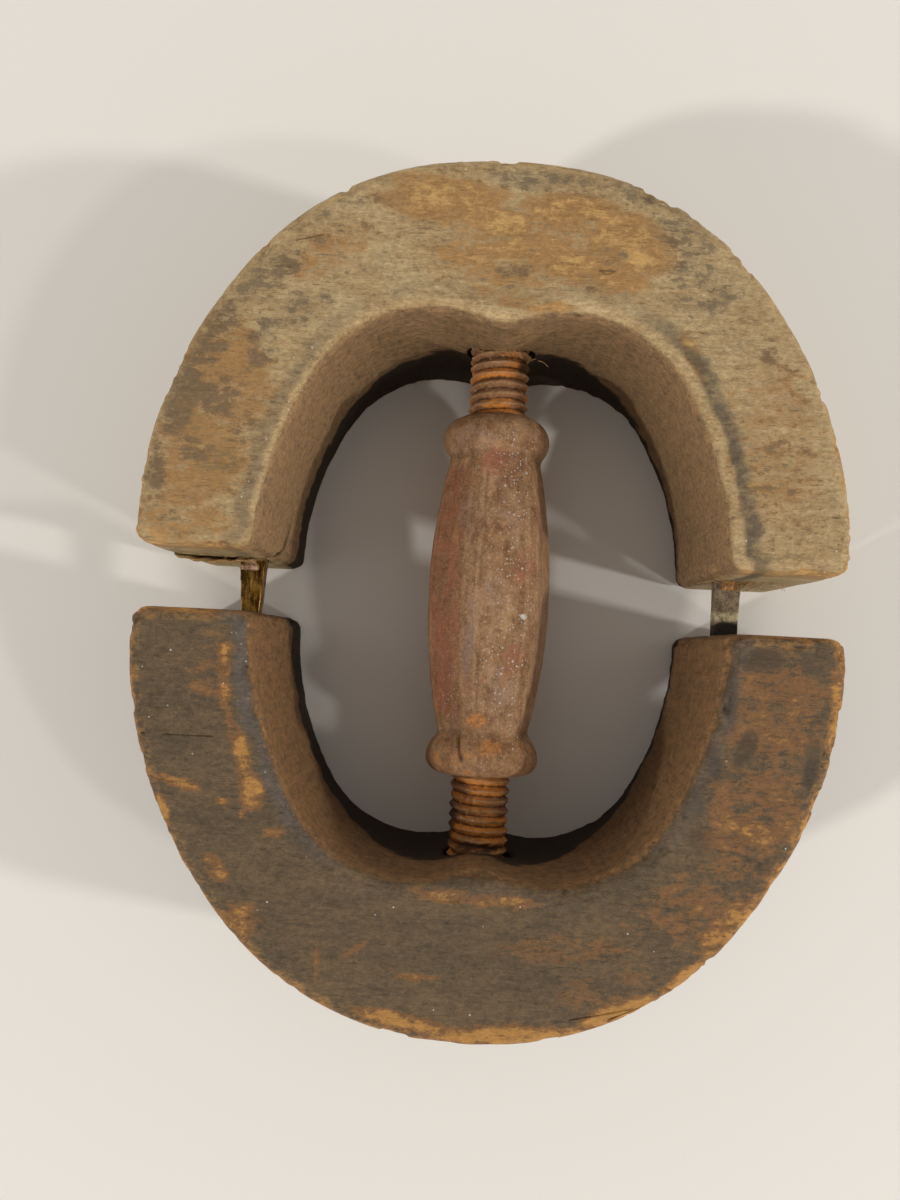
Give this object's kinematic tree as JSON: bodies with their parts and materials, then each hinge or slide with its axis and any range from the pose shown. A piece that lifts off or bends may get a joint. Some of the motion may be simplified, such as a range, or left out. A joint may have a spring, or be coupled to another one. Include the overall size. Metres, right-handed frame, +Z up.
{
  "type": "hat stretcher",
  "caption": "Oval wooden hat stretcher in a back and a front half, pushed apart by an iron turnbuckle with a faceted grip and kept in line by metal guide tongues.",
  "frame": {"origin": "on the table under the middle of the closed outline, with the gap set as in the picture", "axes": "+X to the right across the hat, +Y from the front half to the back half along the screw, +Z up from the table"},
  "size_m": [0.161, 0.1984, 0.056],
  "materials": {
    "back_wood": "worn, hand-polished, with grey patina",
    "front_wood": "dark patina worn through to bare wood",
    "plug_wood": "bare, aged",
    "wedge_wood": "bare",
    "grip_iron": "brown rust, rubbed smooth by hands",
    "thread_iron": "orange rust",
    "nut_iron": "dull",
    "tongue_brass": "tarnished, rubbed bright",
    "tongue_iron": "mottled grey-brown"
  },
  "bodies": {
    "back_half": {"back_block": "back_wood", "back_stud": "thread_iron", "back_nut": "nut_iron", "back_nut_plug": "plug_wood", "left_guide": "tongue_brass", "right_guide": "tongue_iron", "left_guide_wedge": "wedge_wood", "right_guide_wedge": "wedge_wood"},
    "thrust_washer": {"back_washer": "nut_iron"},
    "turnbuckle": {"grip": "grip_iron"},
    "front_half": {"front_block": "front_wood", "front_stud": "thread_iron", "front_nut": "nut_iron", "front_washer": "nut_iron", "front_nut_plug": "plug_wood"}
  },
  "joints": [
    {"name": "grip_turn", "type": "hinge", "parent": "back_half", "child": "thrust_washer", "pos_m": [0, 0, 0.028], "axis": [0, -1, 0], "range_deg": [-720, 1440]},
    {"name": "grip_travel", "type": "slide", "parent": "thrust_washer", "child": "turnbuckle", "axis": [0, -1, 0], "range_m": [-0.005, 0.01]},
    {"name": "front_spread", "type": "slide", "parent": "back_half", "child": "front_half", "axis": [0, -1, 0], "range_m": [-0.01, 0.02]}
  ],
  "couplings": [
    {"joint": "grip_turn", "follows": "front_spread", "rad_per_m": 1256.6},
    {"joint": "grip_travel", "follows": "front_spread", "ratio": 0.5}
  ]
}
